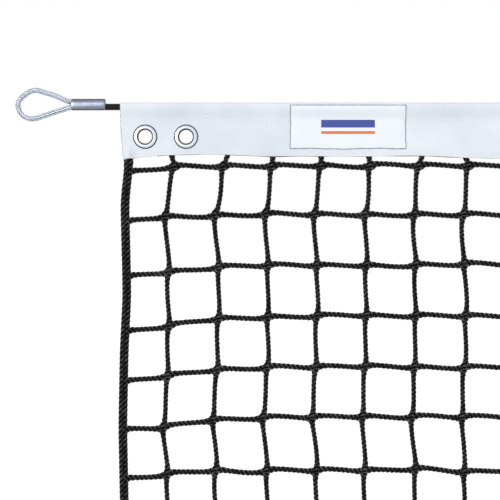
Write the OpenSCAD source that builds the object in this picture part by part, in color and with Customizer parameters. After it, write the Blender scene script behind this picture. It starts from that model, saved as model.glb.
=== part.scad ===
// Full-size tennis net: a jacketed steel cable with a loop at each end, a white headband folded
// over it with eyelets and a label, and a square mesh with side ropes and a bottom rope.
// The origin is the centre of the left loop's eye. X runs along the net, -Y is the front, Z is up.

/* [Net] */
// Length of the headband, end to end
net_length = 12692; // [3000:1:15000]
// Height from the top of the headband to the underside of the bottom rope
net_height = 1060; // [600:1:1400]
// Distance between two upright cords that the mesh is divided by
mesh_width = 46; // [35:0.5:60]
// Distance between two level cords that the mesh is divided by
mesh_height = 47.5; // [35:0.5:60]
// Thickness of a mesh cord
cord_d = 3.8; // [2:0.1:4.2]
// Distance from a side rope to the first upright cord
side_cell = 38; // [20:1:60]
// Drop from the headband's lower edge to the first level cord
first_row_drop = 8.5; // [6:0.5:20]

/* [Side and bottom ropes] */
// Thickness of the side ropes and the bottom rope
rope_d = 7.3; // [5:0.1:10]
// Distance from the headband's end to the middle of a side rope
rope_inset = 6; // [5:0.5:20]

/* [Cable] */
// Diameter of the bare wire rope
wire_d = 4.2; // [3:0.1:6]
// Outside diameter of the jacket
jacket_d = 6.2; // [5:0.1:8]
// Length of bare jacket between a ferrule and the headband
bare_jacket = 13.8; // [6:0.1:60]
// Outside height of a loop
loop_height = 31.6; // [25:0.1:60]
// Length of a loop, from its far end to its ferrule
loop_length = 52; // [48:0.5:120]
// Radius of a strand's bend into its ferrule
bend_r = 10; // [6:0.5:14]
// Length of a ferrule
ferrule_length = 32; // [15:1:60]
// Thickness of a ferrule's wall
ferrule_wall = 1.1; // [0.8:0.1:2]

/* [Headband] */
// Height of the headband
band_height = 50; // [45:1:90]
// Thickness of one layer of the band's fabric
band_t = 0.9; // [0.5:0.1:1.2]
// Drop over which the two layers come together under the cable
band_taper = 13; // [9:0.5:14]
// Play between the jacket and the folded band
channel_gap = 0.3; // [0.1:0.05:0.6]
// Height of the edge seam above the band's lower edge
edge_seam_rise = 3; // [2:0.5:4]
// Thickness of a sewing thread as it lies on the fabric
thread_t = 0.3; // [0.2:0.05:0.4]
// Width of a sewing thread as it lies on the fabric
thread_w = 0.8; // [0.5:0.1:1]

/* [Label] */
// Length of the label
label_length = 107; // [60:1:160]
// Height of the label
label_height = 41; // [30:1:42]
// Thickness of the label
label_t = 0.6; // [0.5:0.05:0.8]
// Distance from the headband's left end to the label
label_from_end = 158; // [100:1:400]
// Drop from the top of the headband to the label
label_drop = 1.5; // [1:0.1:3]
// Distance from the label's edge to its stitching
label_margin = 2; // [1:0.1:4]

/* [Eyelets] */
// Outside diameter of an eyelet
eyelet_d = 22.7; // [18:0.1:24]
// Diameter of the hole through an eyelet
eyelet_hole_d = 12.6; // [8:0.1:13.5]
// Distance from the headband's end to the first eyelet
eyelet_from_end = 23; // [14:0.5:40]
// Distance between the two eyelets of one end
eyelet_pitch = 38; // [26:0.5:60]
// Drop from the top of the headband to the eyelets
eyelet_drop = 32; // [31:0.5:36]
// Thickness of an eyelet's front flange
flange_t = 1.2; // [0.8:0.1:2]
// Wall of an eyelet's barrel
barrel_wall = 0.6; // [0.4:0.1:0.8]
// Thickness of a back washer
washer_t = 0.8; // [0.5:0.1:1.2]
// Width of the barrel's curl over the washer
curl_w = 2.2; // [1.5:0.1:3]

/* [Hidden] */
$fn = 64;

// Clearances
strand_gap = 0.2;    // between the two strands inside a ferrule
jacket_play = 0.05;  // between the wire rope and its jacket, all round
ferrule_play = 0.05; // between the strands and the ferrule, all round
barrel_play = 0.1;   // between an eyelet's barrel and the band's hole, all round
washer_play = 0.05;  // between an eyelet's barrel and its washer, all round
groove_play = 0.05;  // between the channel seam and the label over it
top_cord_gap = 0.3;  // between the mesh's turning top cord and the headband
far = 100;           // longer than any small piece, for cutting tools

// Cable
loop_r = (loop_height - wire_d) / 2;
strand_z = (wire_d + strand_gap) / 2;
ferrule_start = loop_length - loop_height / 2;
ferrule_end = ferrule_start + ferrule_length;
ferrule_r = wire_d / 2 + ferrule_wall;
cable_z = -strand_z;

// A strand leaves the eye along a straight line that leans, then bends level into the ferrule
lean = asin((loop_r + bend_r) / norm([ferrule_start, strand_z + bend_r]))
    - atan2(strand_z + bend_r, ferrule_start);
rope_sides = 16;

// Headband, between its two ends
band_start = ferrule_end + bare_jacket;
band_end = band_start + net_length;
middle = (band_start + band_end) / 2;
channel_r = jacket_d / 2 + channel_gap;
band_top = cable_z + channel_r + band_t;
band_bottom = band_top - band_height;
taper_end = cable_z - band_taper;
channel_seam_z = taper_end - thread_w;
edge_seam_z = band_bottom + edge_seam_rise;
eyelet_z = band_top - eyelet_drop;
label_start = band_start + label_from_end;
label_top = band_top - label_drop;

// Hinge line between the headband and the mesh: the middle of the mesh's top cord
cord_corner_r = cord_d / 2 / cos(180 / 8);
hinge_z = band_bottom - top_cord_gap - cord_corner_r;
rope_top = hinge_z - band_t - top_cord_gap;

// Mesh
rope_left = band_start + rope_inset;
rope_right = band_end - rope_inset;
bottom_z = band_top - net_height + rope_d / 2;
first_row_z = band_bottom - first_row_drop;
row_count = round((first_row_z - bottom_z) / mesh_height);
row_pitch = (first_row_z - bottom_z) / row_count;
first_column = rope_left + side_cell;
columns_span = rope_right - side_cell - first_column;
column_gaps = round(columns_span / mesh_width);
column_pitch = columns_span / column_gaps;

// Points of an arc around [0, z], from angle a0 to a1
function arc(r, z, a0, a1, steps) =
    [for (i = [0 : steps]) let (a = a0 + (a1 - a0) * i / steps) [r * cos(a), z + r * sin(a)]];

// Angle at which a line from the point [x, -drop] below a circle's centre touches its right side
function touch_angle(r, x, drop) = atan2(-drop, x) + acos(r / norm([x, drop]));

// Fold of fabric round the cable, whose sides meet at half-thickness x at the end of the taper
function fold(r, x) =
    let (a = touch_angle(r, x, band_taper)) arc(r, cable_z, a, 180 - a, 24);

// Lays a profile of [y, z] points along X from start to start + length
module along(start, length) {
    translate([start, 0, 0]) rotate([90, 0, 90]) linear_extrude(length) children();
}

// The headband's outline, with grow added to its thickness
module band_outline(grow) {
    half = band_t + grow;
    polygon(concat(fold(channel_r + band_t + grow, half),
        [[-half, taper_end], [-half, band_bottom], [half, band_bottom], [half, taper_end]]));
}

// The space between the layers, round the cable
module channel_outline() {
    polygon(concat(fold(channel_r, 0), [[0, taper_end]]));
}

// A skin of thickness t on the band's front, from z = low to high, resting on what is grow thick
module front_skin(grow, t, low, high) {
    intersection() {
        difference() {
            band_outline(grow + t);
            band_outline(grow);
        }
        translate([-far, low]) square([far, high - low]);
    }
}

// A level cord of thickness d at height z
module level_cord(start, end, z, d) {
    translate([start, 0, z]) rotate([0, 90, 0]) rotate(180 / 8)
        cylinder(h = end - start, d = d / cos(180 / 8), $fn = 8);
}

// An upright cord of thickness d, up from the middle of the bottom rope
module upright_cord(x, high, d) {
    translate([x, 0, bottom_z]) rotate(180 / 8)
        cylinder(h = high - bottom_z, d = d / cos(180 / 8), $fn = 8);
}

module wire_rope() {
    color("slategray") translate([ferrule_end, 0, cable_z]) rotate([0, 90, 0])
        cylinder(h = 2 * (middle - ferrule_end), d = wire_d);
}

module cable_jacket() {
    color("black") translate([ferrule_end, 0, cable_z]) rotate([0, 90, 0]) difference() {
        length = 2 * (middle - ferrule_end);
        cylinder(h = length, d = jacket_d);
        translate([0, 0, -1]) cylinder(h = length + 2, d = wire_d + 2 * jacket_play);
    }
}

// Middle of the wire rope round the left loop, as [x, z] points from one strand's end to the other's
function bend_points(side) =
    [for (p = arc(bend_r, strand_z + bend_r, -90, -90 - lean, 4)) [ferrule_start + p[0], side * p[1]]];
function reversed(list) = [for (i = [len(list) - 1 : -1 : 0]) list[i]];
function loop_points() = concat(
    [[ferrule_end, strand_z]], bend_points(1),
    arc(loop_r, 0, 90 - lean, 270 + lean, 24),
    reversed(bend_points(-1)), [[ferrule_end, -strand_z]]);

// Unit direction from p to q
function heading(p, q) = (q - p) / norm(q - p);

// One loop of bare wire rope round the origin, with both strands inside its ferrule
module loop() {
    path = loop_points();
    last = len(path) - 1;
    points = [for (i = [0 : last], j = [0 : rope_sides - 1])
        let (along = heading(path[max(i - 1, 0)], path[min(i + 1, last)]), turn = 360 * j / rope_sides,
             out = wire_d / 2 * cos(turn))
        [path[i][0] - along[1] * out, wire_d / 2 * sin(turn), path[i][1] + along[0] * out]];
    sides = [for (i = [0 : last - 1], j = [0 : rope_sides - 1])
        let (k = (j + 1) % rope_sides, here = i * rope_sides, next = here + rope_sides)
        [here + j, here + k, next + k, next + j]];
    caps = [[for (j = [rope_sides - 1 : -1 : 0]) j], [for (j = [0 : rope_sides - 1]) last * rope_sides + j]];
    polyhedron(points, concat(sides, caps));
}

// The swaged sleeve of the loop round the origin
module ferrule() {
    along(ferrule_start, ferrule_length) difference() {
        ferrule_profile(ferrule_r);
        ferrule_profile(wire_d / 2 + ferrule_play);
    }
}

module ferrule_profile(r) {
    for (side = [-1, 1]) translate([0, side * strand_z]) circle(r = r);
    square([2 * r, 2 * strand_z], center = true);
}

module at_right_end() {
    translate([2 * middle, 0, 0]) mirror([1, 0, 0]) children();
}

module loop_left() { color("lightslategray") loop(); }
module loop_right() { color("lightslategray") at_right_end() loop(); }
module ferrule_left() { color("silver") ferrule(); }
module ferrule_right() { color("silver") at_right_end() ferrule(); }

// Where the eyelets stand along the band
function eyelet_x(side, index) = middle + side * (middle - band_start - eyelet_from_end - index * eyelet_pitch);

// An upright ring turned so that its +Z end faces the front
module facing_front(x, z) {
    translate([x, 0, z]) rotate([90, 0, 0]) children();
}

module headband() {
    color("whitesmoke") difference() {
        along(band_start, net_length) difference() {
            band_outline(0);
            channel_outline();
        }
        for (side = [-1, 1], index = [0, 1])
            facing_front(eyelet_x(side, index), eyelet_z)
                cylinder(h = far, d = eyelet_hole_d + 2 * (barrel_wall + barrel_play), center = true);
    }
}

// One line of thread on each face of the band
module seam(z) {
    for (face = [-1, 1])
        translate([band_start, min(face * band_t, face * (band_t + thread_t)), z - thread_w / 2])
            cube([net_length, thread_t, thread_w]);
}

module channel_seam() { color("white") seam(channel_seam_z); }
module edge_seam() { color("white") seam(edge_seam_z); }

module label() {
    color("aliceblue") difference() {
        along(label_start, label_length) front_skin(0, label_t, label_top - label_height, label_top);
        translate([label_start - 1, -band_t - thread_t - groove_play, channel_seam_z - thread_w / 2 - groove_play])
            cube([label_length + 2, thread_t + groove_play + 1, thread_w + 2 * groove_play]);
    }
}

module label_stitching() {
    inner = label_margin + thread_w;
    low = label_top - label_height;
    color("gray") difference() {
        along(label_start + label_margin, label_length - 2 * label_margin)
            front_skin(label_t, thread_t, low + label_margin, label_top - label_margin);
        translate([label_start + inner, -far, low + inner])
            cube([label_length - 2 * inner, far, label_height - 2 * inner]);
    }
}

// The eyelet's barrel with its front flange, curled over the washer at the back
module eyelet(side, index) {
    hole = eyelet_hole_d / 2;
    barrel = hole + barrel_wall;
    washer_back = -band_t - washer_t;
    color("gainsboro") facing_front(eyelet_x(side, index), eyelet_z) rotate_extrude() polygon([
        [hole, washer_back - barrel_wall], [hole + curl_w, washer_back - barrel_wall],
        [hole + curl_w, washer_back], [barrel, washer_back], [barrel, band_t],
        [eyelet_d / 2, band_t], [eyelet_d / 2, band_t + flange_t / 3],
        [eyelet_d / 2 - flange_t, band_t + flange_t], [hole + barrel_wall, band_t + flange_t],
        [hole, band_t + flange_t - barrel_wall]]);
}

module washer(side, index) {
    inner = eyelet_hole_d / 2 + barrel_wall + washer_play;
    color("silver") facing_front(eyelet_x(side, index), eyelet_z)
        translate([0, 0, -band_t - washer_t]) rotate_extrude()
            translate([inner, 0]) square([eyelet_d / 2 - inner, washer_t]);
}

module eyelet_left_end() { eyelet(-1, 0); }
module eyelet_left_inner() { eyelet(-1, 1); }
module eyelet_right_inner() { eyelet(1, 1); }
module eyelet_right_end() { eyelet(1, 0); }
module washer_left_end() { washer(-1, 0); }
module washer_left_inner() { washer(-1, 1); }
module washer_right_inner() { washer(1, 1); }
module washer_right_end() { washer(1, 0); }

module top_cord() {
    color("dimgray") level_cord(rope_left, rope_right, hinge_z, cord_d);
}

module mesh_rows() {
    color("dimgray") for (i = [0 : row_count - 1])
        level_cord(rope_left, rope_right, first_row_z - i * row_pitch, cord_d);
}

module mesh_columns() {
    color("dimgray") for (i = [0 : column_gaps])
        upright_cord(first_column + i * column_pitch, hinge_z, cord_d);
}

module side_rope_left() { color("black") upright_cord(rope_left, rope_top, rope_d); }
module side_rope_right() { color("black") upright_cord(rope_right, rope_top, rope_d); }

module bottom_rope() {
    color("black") level_cord(rope_left, rope_right, bottom_z, rope_d);
}

wire_rope();
cable_jacket();
loop_left();
loop_right();
ferrule_left();
ferrule_right();
headband();
channel_seam();
edge_seam();
label();
label_stitching();
eyelet_left_end();
eyelet_left_inner();
eyelet_right_inner();
eyelet_right_end();
washer_left_end();
washer_left_inner();
washer_right_inner();
washer_right_end();
top_cord();
mesh_rows();
mesh_columns();
side_rope_left();
side_rope_right();
bottom_rope();
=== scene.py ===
"""Tennis net: the detailed visual model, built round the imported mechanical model.

The net hangs from a looped wire cable. Its white headband folds over the cable and carries the eyelets
and the label. Braided black cords, knotted into a square mesh, hang below it between thicker ropes.
Lengths are millimetres until a mesh is made, and metres in Blender.
"""
import logging
import math
from dataclasses import dataclass, field
from enum import Enum
from typing import Any

import bpy
import numpy as np
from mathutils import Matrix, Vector


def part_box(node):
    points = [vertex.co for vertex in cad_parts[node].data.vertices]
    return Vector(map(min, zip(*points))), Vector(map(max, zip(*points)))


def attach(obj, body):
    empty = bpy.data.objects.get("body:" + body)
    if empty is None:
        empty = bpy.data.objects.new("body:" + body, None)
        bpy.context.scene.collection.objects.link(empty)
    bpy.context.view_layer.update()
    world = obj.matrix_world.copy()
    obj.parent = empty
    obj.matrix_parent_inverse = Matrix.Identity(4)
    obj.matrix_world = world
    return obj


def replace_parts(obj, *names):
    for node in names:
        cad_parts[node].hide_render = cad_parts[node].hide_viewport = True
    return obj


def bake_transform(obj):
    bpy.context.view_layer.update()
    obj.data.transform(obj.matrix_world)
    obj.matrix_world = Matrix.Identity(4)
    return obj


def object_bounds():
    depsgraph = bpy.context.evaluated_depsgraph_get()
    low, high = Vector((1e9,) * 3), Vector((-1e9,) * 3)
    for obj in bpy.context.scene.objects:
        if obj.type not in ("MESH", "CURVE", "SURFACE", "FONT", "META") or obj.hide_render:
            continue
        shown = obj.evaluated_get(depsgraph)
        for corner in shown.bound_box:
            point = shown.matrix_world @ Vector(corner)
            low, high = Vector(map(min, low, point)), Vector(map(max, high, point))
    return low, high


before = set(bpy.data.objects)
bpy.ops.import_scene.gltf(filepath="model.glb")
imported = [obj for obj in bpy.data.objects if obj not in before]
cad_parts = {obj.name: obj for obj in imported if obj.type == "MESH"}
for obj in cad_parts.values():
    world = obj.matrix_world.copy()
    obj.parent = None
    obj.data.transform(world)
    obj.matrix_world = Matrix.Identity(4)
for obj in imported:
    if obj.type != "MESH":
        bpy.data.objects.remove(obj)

CAD_BOX = [list(corner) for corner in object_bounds()]
LOG = logging.getLogger("tennis_net")
Array = np.ndarray
MM = 0.001
DEPTH = np.array([0.0, 1.0, 0.0])
# Attribute for how high each point stands on its strand; the cord and wire finishes paint sheen on high points and
# shade on low ones from it.
CROWN = "crown"
EYELETS = ("left_end", "left_inner", "right_inner", "right_end")


class Body(Enum):
    """The three bodies of the mechanical model."""

    CABLE = "cable"
    BAND = "band"
    NETTING = "netting"


class Side(Enum):
    """The end of the net that a piece belongs to."""

    LEFT = "left"
    RIGHT = "right"


class Detail(Enum):
    """How finely a cord is drawn: points round it and points along one side of a mesh."""

    FINE = (14, 52)
    PLAIN = (5, 8)

    @property
    def around(self) -> int:
        """Points round the cord."""
        return self.value[0]

    @property
    def along(self) -> int:
        """Points along the cord."""
        return self.value[1]


# ---------------------------------------------------------------------------------------------- helpers


def linear(code: str) -> tuple[float, float, float, float]:
    """Turn an sRGB colour into a linear one.

    Args:
        code: the colour as six hex digits after a #.

    Returns:
        Red, green, blue and an alpha of 1.
    """
    parts = [int(code[i:i + 2], 16) / 255 for i in (1, 3, 5)]
    red, green, blue = (p / 12.92 if p <= 0.04045 else ((p + 0.055) / 1.055) ** 2.4 for p in parts)
    return red, green, blue, 1.0


def add_node(tree: bpy.types.NodeTree, kind: str, values: dict[Any, Any] | None = None,
             links: dict[Any, Any] | None = None, **settings: Any) -> bpy.types.Node:
    """Add one node to a tree.

    Args:
        tree: the node tree that gets it.
        kind: the node's type, without "ShaderNode".
        values: a value for each named or numbered input socket.
        links: the output socket that feeds each named or numbered input socket.
        settings: the node's own settings, such as its operation.

    Returns:
        The new node.
    """
    node = tree.nodes.new("ShaderNode" + kind)
    for name, value in settings.items():
        setattr(node, name, value)
    for socket, value in (values or {}).items():
        node.inputs[socket].default_value = value
    for socket, source in (links or {}).items():
        tree.links.new(source, node.inputs[socket])
    return node


def box_mm(node: str) -> tuple[Array, Array]:
    """Give the lowest and highest corners of a node of the mechanical model, in millimetres."""
    low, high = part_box(node)
    return np.array(low) / MM, np.array(high) / MM


def ease(value: Array | float) -> Array:
    """Turn 0 to 1 into a smooth step, and hold it outside."""
    share = np.clip(value, 0.0, 1.0)
    return share * share * (3 - 2 * share)


def bump(value: Array, centre: float, width: float) -> Array:
    """Give a soft hump, 1 at its centre and width millimetres wide each way."""
    return np.exp(-(((value - centre) / width) ** 2))


def tube(line: Array, radius: Array, across: Array = DEPTH, closed: bool = False) -> Array:
    """Lay rings of points round one or many centre lines.

    Args:
        line: centre lines, shaped (..., points, 3).
        radius: the radius at each point of each ring, shaped (..., points, ring).
        across: a direction that no centre line runs along.
        closed: whether each line joins up with its own start.

    Returns:
        Points shaped (..., points, ring, 3), in right-handed order for outward faces.
    """
    ahead = np.roll(line, -1, axis=-2) - np.roll(line, 1, axis=-2) if closed else np.gradient(line, axis=-2)
    ahead = ahead / np.linalg.norm(ahead, axis=-1, keepdims=True)
    first = across - (ahead * across).sum(-1, keepdims=True) * ahead
    first = first / np.linalg.norm(first, axis=-1, keepdims=True)
    second = np.cross(ahead, first)
    turn = np.arange(radius.shape[-1]) * 2 * math.pi / radius.shape[-1]
    out = (np.cos(turn)[:, None] * first[..., None, :] + np.sin(turn)[:, None] * second[..., None, :])
    return line[..., None, :] + radius[..., None] * out


def lengths(line: Array) -> Array:
    """Give the distance along each centre line at each of its points."""
    steps = np.linalg.norm(np.diff(line, axis=-2), axis=-1)
    return np.concatenate([np.zeros_like(steps[..., :1]), np.cumsum(steps, axis=-1)], axis=-1)


@dataclass
class Shell:
    """Gathers grids of points into the faces of one mesh."""

    points: list[Array] = field(default_factory=list)
    quads: list[Array] = field(default_factory=list)
    crowns: list[Array] = field(default_factory=list)
    count: int = 0

    def grid(self, points: Array, ring: bool = True, loop: bool = False, flip: bool = False,
             crown: Array | None = None) -> None:
        """Add the faces of one or many grids.

        Args:
            points: shaped (..., rows, ring, 3).
            ring: whether each row closes on itself.
            loop: whether the last row joins the first.
            flip: whether the faces turn over, as a mirrored grid needs.
            crown: how high each point stands on its strand, from 0 to 1, shaped (..., rows, ring).
        """
        high = np.full(points.shape[:-1], 0.45) if crown is None else np.broadcast_to(crown, points.shape[:-1])
        self.crowns.append(high.reshape(-1))
        stack = points.reshape((-1,) + points.shape[-3:])
        index = np.arange(stack[..., 0].size).reshape(stack.shape[:3]) + self.count
        index = np.concatenate([index, index[:, :, :1]], axis=2) if ring else index
        index = np.concatenate([index, index[:, :1]], axis=1) if loop else index
        corners = [index[:, :-1, :-1], index[:, :-1, 1:], index[:, 1:, 1:], index[:, 1:, :-1]]
        faces = np.stack(corners, axis=-1).reshape(-1, 4)
        self.quads.append(faces[:, ::-1] if flip else faces)
        self.points.append(stack.reshape(-1, 3))
        self.count += stack[..., 0].size

    def make(self, name: str, finish: "Finish", body: Body | None, origin: Array | None = None) -> bpy.types.Object:
        """Turn what was gathered into an object of the scene.

        Args:
            name: the piece's name.
            finish: the finish that it is dressed in.
            body: the body it rides on, or None if it rides on none.
            origin: where the object's own origin lies, in millimetres.

        Returns:
            The new object.
        """
        start = np.zeros(3) if origin is None else origin
        points = (np.concatenate(self.points) - start) * MM
        faces = np.concatenate(self.quads)
        mesh = bpy.data.meshes.new(name)
        mesh.vertices.add(len(points))
        mesh.vertices.foreach_set("co", points.astype(np.float32).ravel())
        mesh.loops.add(faces.size)
        mesh.loops.foreach_set("vertex_index", faces.astype(np.int32).ravel())
        mesh.polygons.add(len(faces))
        mesh.polygons.foreach_set("loop_start", np.arange(0, faces.size, 4, dtype=np.int32))
        mesh.polygons.foreach_set("use_smooth", np.ones(len(faces), dtype=bool))
        mesh.update(calc_edges=True)
        crown = mesh.attributes.new(CROWN, "FLOAT", "POINT")
        crown.data.foreach_set("value", np.concatenate(self.crowns).astype(np.float32))
        mesh.validate()
        piece = bpy.data.objects.new(name, mesh)
        piece.location = Vector(start * MM)
        bpy.context.scene.collection.objects.link(piece)
        mesh.materials.append(finish.material())
        if body is not None:
            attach(piece, body.value)
        LOG.info("%s: %d faces, %s", name, len(faces), type(finish).__name__)
        return piece


# --------------------------------------------------------------------------------------------- finishes


@dataclass(frozen=True)
class Finish:
    """One finish of the net. Subclasses say what it is made of and how its surface was made."""

    slot: str = ""

    def dress(self, tree: bpy.types.NodeTree, surface: bpy.types.Node, place: bpy.types.NodeSocket) -> None:
        """Add the finish's own nodes.

        Args:
            tree: the material's node tree.
            surface: its Principled shader.
            place: the point on the object, in metres.
        """
        raise NotImplementedError

    def material(self) -> bpy.types.Material:
        """Give the finish's material, and make it at its first use."""
        name = f"{type(self).__name__}_{self.slot}"
        found = bpy.data.materials.get(name)
        if found:
            return found
        made = bpy.data.materials.new(name)
        made.use_nodes = True
        tree = made.node_tree
        tree.nodes.clear()
        surface = add_node(tree, "BsdfPrincipled")
        add_node(tree, "OutputMaterial", links={"Surface": surface.outputs["BSDF"]})
        place = add_node(tree, "TexCoord").outputs["Object"]
        self.dress(tree, surface, place)
        return made


def per_metre(millimetres: float) -> float:
    """Give a texture scale that repeats once in that many millimetres."""
    return 1 / (millimetres * MM)


@dataclass(frozen=True)
class WovenPolyester(Finish):
    """Woven white polyester twill: matt, cool white, with fine slanting ribs that turn back on themselves."""

    light: str = "#eff4fb"
    shade: str = "#d9e0ea"
    rib_mm: float = 2.3  # the real rib is 1 mm wide; it is drawn twice as wide, or it would not show
    turn_mm: float = 56.0
    yarn_mm: float = 0.9
    relief_mm: float = 0.08

    def dress(self, tree: bpy.types.NodeTree, surface: bpy.types.Node, place: bpy.types.NodeSocket) -> None:
        """Draw the twill's ribs, the yarns across them and the cloth's faint cloudiness."""
        parts = add_node(tree, "SeparateXYZ", links={0: place})
        shifted = add_node(tree, "Math", {1: -0.106}, {0: parts.outputs["X"]}, operation="ADD")
        zigzag = add_node(tree, "Math", {1: self.turn_mm * MM}, {0: shifted.outputs[0]}, operation="PINGPONG")
        slant = add_node(tree, "Math", {}, {0: zigzag.outputs[0], 1: parts.outputs["Z"]}, operation="SUBTRACT")
        phase = add_node(tree, "Math", {1: 2 * math.pi * per_metre(self.rib_mm) / math.sqrt(2)},
                         {0: slant.outputs[0]}, operation="MULTIPLY")
        rib = add_node(tree, "Math", {}, {0: phase.outputs[0]}, operation="SINE")
        patch = add_node(tree, "TexNoise", {"Scale": per_metre(34), "Detail": 1.0}, {"Vector": place})
        strength = add_node(tree, "MapRange", {1: 0.42, 2: 0.62, 3: 0.15, 4: 1.0}, {0: patch.outputs[0]})
        upper = add_node(tree, "MapRange", {1: -38 * MM, 2: -14 * MM, 3: 0.35, 4: 1.0}, {0: parts.outputs["Z"]})
        local = add_node(tree, "Math", {}, {0: upper.outputs[0], 1: strength.outputs[0]}, operation="MULTIPLY")
        ribs = add_node(tree, "Math", {}, {0: rib.outputs[0], 1: local.outputs[0]}, operation="MULTIPLY")
        yarns = add_node(tree, "TexVoronoi", {"Scale": per_metre(self.yarn_mm)}, {"Vector": place})
        height = add_node(tree, "Math", {1: 0.35}, {0: yarns.outputs[0], 2: ribs.outputs[0]},
                          operation="MULTIPLY_ADD")
        cloud = add_node(tree, "TexNoise", {"Scale": per_metre(60), "Detail": 3.0}, {"Vector": place})
        mixed = add_node(tree, "Math", {1: 0.3}, {0: ribs.outputs[0], 2: cloud.outputs[0]},
                         operation="MULTIPLY_ADD")
        share = add_node(tree, "MapRange", {1: 0.2, 2: 0.75}, {0: mixed.outputs[0]})
        colour = add_node(tree, "Mix", {6: linear(self.shade), 7: linear(self.light)}, {0: share.outputs[0]},
                          data_type="RGBA")
        tree.links.new(colour.outputs[2], surface.inputs["Base Color"])
        raised = add_node(tree, "Bump", {"Strength": 0.6, "Distance": self.relief_mm * MM},
                          {"Height": height.outputs[0]})
        tree.links.new(raised.outputs[0], surface.inputs["Normal"])
        surface.inputs["Roughness"].default_value = 0.78
        surface.inputs["Specular IOR Level"].default_value = 0.25
        surface.inputs["Sheen Weight"].default_value = 0.08


@dataclass(frozen=True)
class LabelSatin(Finish):
    """Close-woven polyester label satin: whiter and smoother than the band, with two plain woven stripes."""

    ground: str = "#f6faff"
    upper_stripe: str = "#3d4f9c"
    lower_stripe: str = "#e8743b"
    half_length_mm: float = 25.0
    weave_mm: float = 0.7

    def stripe(self, tree: bpy.types.NodeTree, parts: bpy.types.Node, middle: float, half: float) -> bpy.types.Node:
        """Give 1 inside a level stripe and 0 outside it.

        Args:
            tree: the material's node tree.
            parts: the node that splits the point on the label into X, Y and Z.
            middle: the height of the stripe's middle, in millimetres.
            half: half the stripe's height.

        Returns:
            The node with the stripe's mask.
        """
        level = add_node(tree, "Math", {1: middle * MM, 2: half * MM}, {0: parts.outputs["Z"]}, operation="COMPARE")
        span = add_node(tree, "Math", {1: 0.0, 2: self.half_length_mm * MM}, {0: parts.outputs["X"]},
                        operation="COMPARE")
        return add_node(tree, "Math", {}, {0: level.outputs[0], 1: span.outputs[0]}, operation="MULTIPLY")

    def dress(self, tree: bpy.types.NodeTree, surface: bpy.types.Node, place: bpy.types.NodeSocket) -> None:
        """Draw the satin's weave, its cloudiness and the two stripes."""
        parts = add_node(tree, "SeparateXYZ", links={0: place})
        cloud = add_node(tree, "TexNoise", {"Scale": per_metre(25), "Detail": 2.0}, {"Vector": place})
        ground = add_node(tree, "Mix", {6: linear("#e9f0f9"), 7: linear(self.ground)}, {0: cloud.outputs[0]},
                          data_type="RGBA")
        upper = self.stripe(tree, parts, 3.0, 3.6)
        lower = self.stripe(tree, parts, -5.2, 1.3)
        blue = add_node(tree, "Mix", {7: linear(self.upper_stripe)}, {0: upper.outputs[0], 6: ground.outputs[2]},
                        data_type="RGBA")
        both = add_node(tree, "Mix", {7: linear(self.lower_stripe)}, {0: lower.outputs[0], 6: blue.outputs[2]},
                        data_type="RGBA")
        tree.links.new(both.outputs[2], surface.inputs["Base Color"])
        weave = add_node(tree, "TexWave", {"Scale": per_metre(self.weave_mm) / 20, "Distortion": 1.5},
                         {"Vector": place}, bands_direction="Z")
        raised = add_node(tree, "Bump", {"Strength": 0.35, "Distance": 0.03 * MM}, {"Height": weave.outputs[1]})
        tree.links.new(raised.outputs[0], surface.inputs["Normal"])
        surface.inputs["Roughness"].default_value = 0.5
        surface.inputs["Specular IOR Level"].default_value = 0.35


@dataclass(frozen=True)
class SewingThread(Finish):
    """Twisted polyester sewing thread: soft sheen, with the twist showing as fine slanting lines."""

    colour: str = "#eef2f8"
    dark: str = "#cfd6e0"
    twist_mm: float = 0.8

    def dress(self, tree: bpy.types.NodeTree, surface: bpy.types.Node, place: bpy.types.NodeSocket) -> None:
        """Draw the twist of the thread."""
        twist = add_node(tree, "TexWave", {"Scale": per_metre(self.twist_mm) / 20, "Distortion": 2.0},
                         {"Vector": place}, bands_direction="DIAGONAL")
        colour = add_node(tree, "Mix", {6: linear(self.dark), 7: linear(self.colour)}, {0: twist.outputs[1]},
                          data_type="RGBA")
        tree.links.new(colour.outputs[2], surface.inputs["Base Color"])
        raised = add_node(tree, "Bump", {"Strength": 0.5, "Distance": 0.05 * MM}, {"Height": twist.outputs[1]})
        tree.links.new(raised.outputs[0], surface.inputs["Normal"])
        surface.inputs["Roughness"].default_value = 0.6


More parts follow.
